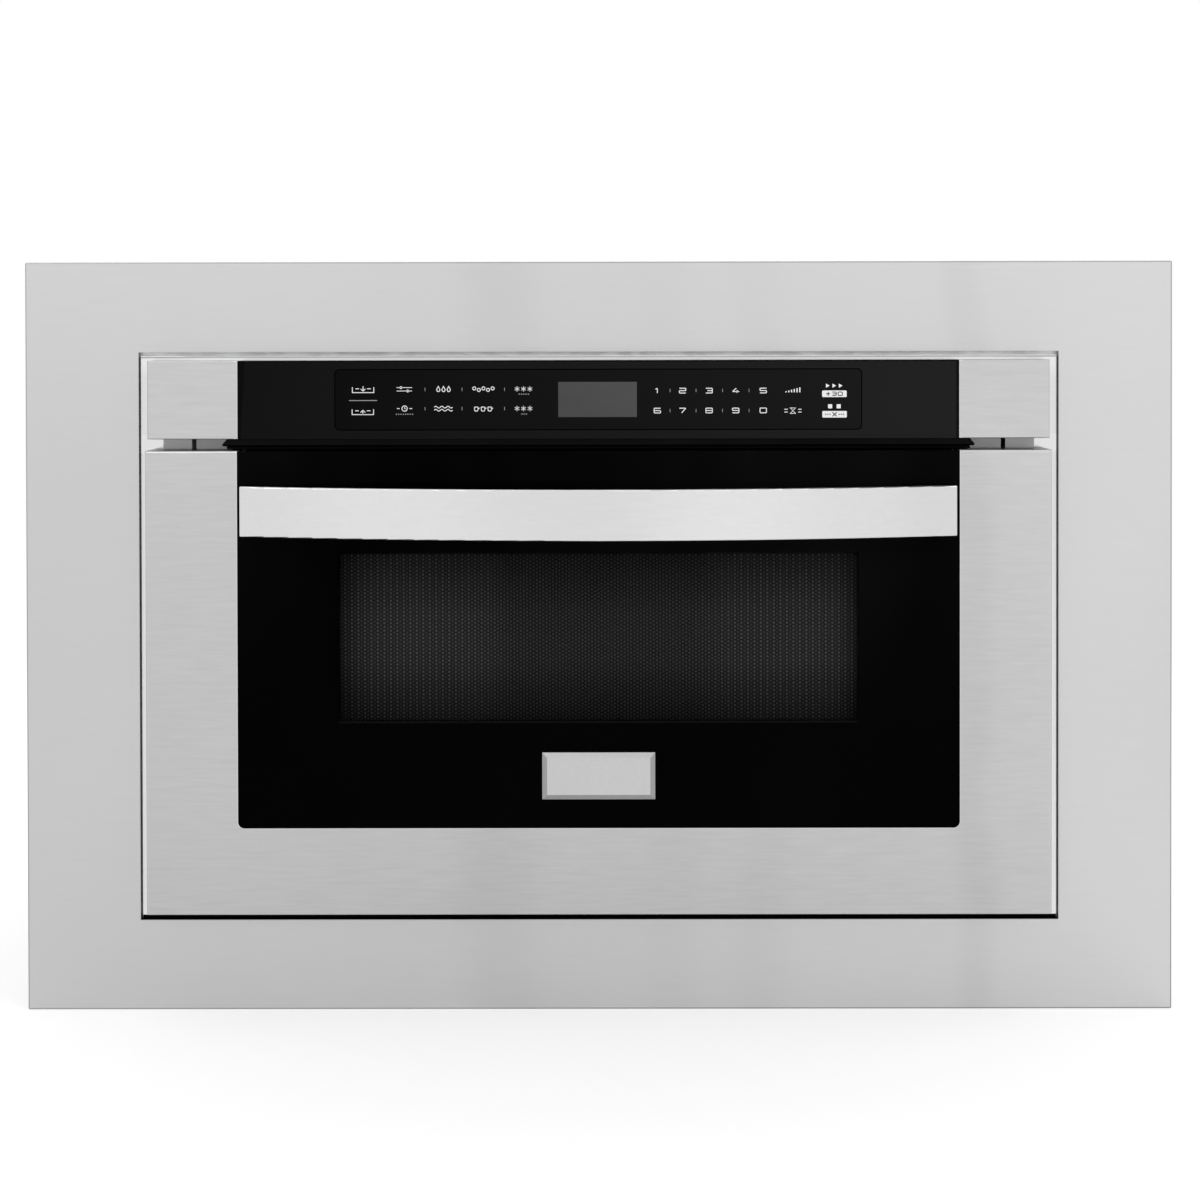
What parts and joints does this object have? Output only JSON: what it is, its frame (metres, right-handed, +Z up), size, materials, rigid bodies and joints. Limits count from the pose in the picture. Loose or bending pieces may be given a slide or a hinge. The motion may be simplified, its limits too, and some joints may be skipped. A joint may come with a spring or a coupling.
{
  "type": "microwave drawer",
  "caption": "Built-in microwave drawer with touch controls above, a bowed bar handle, a drawer box on powered slides and a flat picture-frame trim.",
  "frame": {"origin": "middle of the four flange screw holes, on the cabinet's face plane", "axes": "+X to the right seen from the front, +Y into the cabinet, +Z up; the drawer opens along -Y"},
  "size_m": [0.759, 0.6714, 0.496],
  "materials": {
    "trim_steel": "brushed stainless sheet, soft satin",
    "flange_steel": "bright satin stainless",
    "front_steel": "horizontally brushed stainless",
    "handle_steel": "finely brushed stainless",
    "badge_metal": "satin with bevelled edges, bare",
    "control_glass_black": "black back-printed glass, glossy",
    "door_glass_black": "black glass with a tinted window",
    "touch_film": null,
    "display_lens": "smoked grey lens",
    "black_plastic": "moulded, satin",
    "grey_enamel": "grey enamelled sheet",
    "cavity_steel": "stainless sheet",
    "zinc_sheet": "zinc coated sheet",
    "black_steel": "black coated",
    "clear_glass": "clear",
    "tray_ceramic": "glass ceramic, smooth",
    "slide_steel": "zinc plated",
    "screw_steel": "plated",
    "nylon": "natural nylon",
    "shaft_steel": "ground",
    "motor_grey": "satin",
    "circuit_board": "solder mask",
    "display_module_grey": "moulded",
    "switch_plastic": "moulded",
    "waveguide_metal": "plain",
    "magnetron_metal": "plain",
    "transformer_iron": "varnished laminations",
    "capacitor_can": "drawn can",
    "fan_plastic": "moulded",
    "lamp_glass": "clear bulb in a holder",
    "loom_sleeve": "braided sleeve"
  },
  "bodies": {
    "case": {"trim_frame": "trim_steel", "trim_backing_plates": "zinc_sheet", "front_flange": "flange_steel", "base_pan": "zinc_sheet", "case_cover": "zinc_sheet", "rear_panel": "zinc_sheet", "case_screws": "screw_steel", "corner_panel_right": "front_steel", "corner_panel_left": "front_steel", "control_housing": "black_plastic", "control_glass": "control_glass_black", "touch_membrane": "touch_film", "display_window": "display_lens", "display_module": "display_module_grey", "control_board": "circuit_board", "vent_visor": "black_plastic", "cavity_shell": "cavity_steel", "cavity_front_plate": "grey_enamel", "slide_outer_right": "slide_steel", "slide_outer_left": "slide_steel", "slide_brackets": "zinc_sheet", "shaft_bearings": "black_plastic", "drive_motor": "motor_grey", "interlock_switches": "switch_plastic", "waveguide": "waveguide_metal", "antenna_motor": "motor_grey", "magnetron": "magnetron_metal", "power_transformer": "transformer_iron", "hv_capacitor": "capacitor_can", "filter_board": "circuit_board", "power_gland": "black_plastic", "fan_shroud": "fan_plastic", "fan_motor": "motor_grey", "oven_lamp": "lamp_glass", "wiring_loom": "loom_sleeve"},
    "drawer": {"drawer_front_panel": "front_steel", "door_glass": "door_glass_black", "door_inner_frame": "black_steel", "window_screen": "black_steel", "inner_window": "clear_glass", "choke_frame": "zinc_sheet", "choke_cover": "black_plastic", "handle_bar": "handle_steel", "handle_posts": "black_plastic", "handle_screws": "screw_steel", "badge_plate": "badge_metal", "drawer_box": "cavity_steel", "ceramic_tray": "tray_ceramic", "slide_inner_right": "slide_steel", "slide_inner_left": "slide_steel", "slide_front_brackets": "zinc_sheet", "drive_racks": "nylon", "latch_hooks": "black_plastic"},
    "slide_middle_right": {"slide_middle_right": "slide_steel"},
    "slide_middle_left": {"slide_middle_left": "slide_steel"},
    "drive_shaft": {"drive_shaft": "shaft_steel", "drive_pinions": "nylon"},
    "interlock_lever": {"interlock_lever": "nylon"},
    "stirrer": {"stirrer_antenna": "waveguide_metal"},
    "fan": {"cooling_fan": "fan_plastic"}
  },
  "joints": [
    {"name": "drawer_slide", "type": "slide", "parent": "case", "child": "drawer", "axis": [0, -1, 0], "range_m": [0, 0.389]},
    {"name": "slide_middle_right_slide", "type": "slide", "parent": "case", "child": "slide_middle_right", "axis": [0, -1, 0], "range_m": [0, 0.1945]},
    {"name": "slide_middle_left_slide", "type": "slide", "parent": "case", "child": "slide_middle_left", "axis": [0, -1, 0], "range_m": [0, 0.1945]},
    {"name": "drive_shaft_spin", "type": "hinge", "parent": "case", "child": "drive_shaft", "pos_m": [0, 0.04, -0.14], "axis": [1, 0, 0], "range_deg": [0, 1858]},
    {"name": "interlock_lever_swing", "type": "hinge", "parent": "case", "child": "interlock_lever", "pos_m": [0.25, 0.03, 0.098], "axis": [1, 0, 0], "range_deg": [0, 5], "stiffness_Nm_per_rad": 0.02},
    {"name": "stirrer_spin", "type": "hinge", "parent": "case", "child": "stirrer", "pos_m": [0, 0.2, -0.0875], "axis": [0, 0, 1], "continuous": true},
    {"name": "fan_spin", "type": "hinge", "parent": "case", "child": "fan", "pos_m": [-0.165, 0.566, 0.085], "axis": [0, 1, 0], "continuous": true}
  ],
  "couplings": [
    {"joint": "slide_middle_right_slide", "follows": "drawer_slide", "ratio": 0.5},
    {"joint": "slide_middle_left_slide", "follows": "drawer_slide", "ratio": 0.5},
    {"joint": "drive_shaft_spin", "follows": "drawer_slide", "rad_per_m": 83.333}
  ]
}
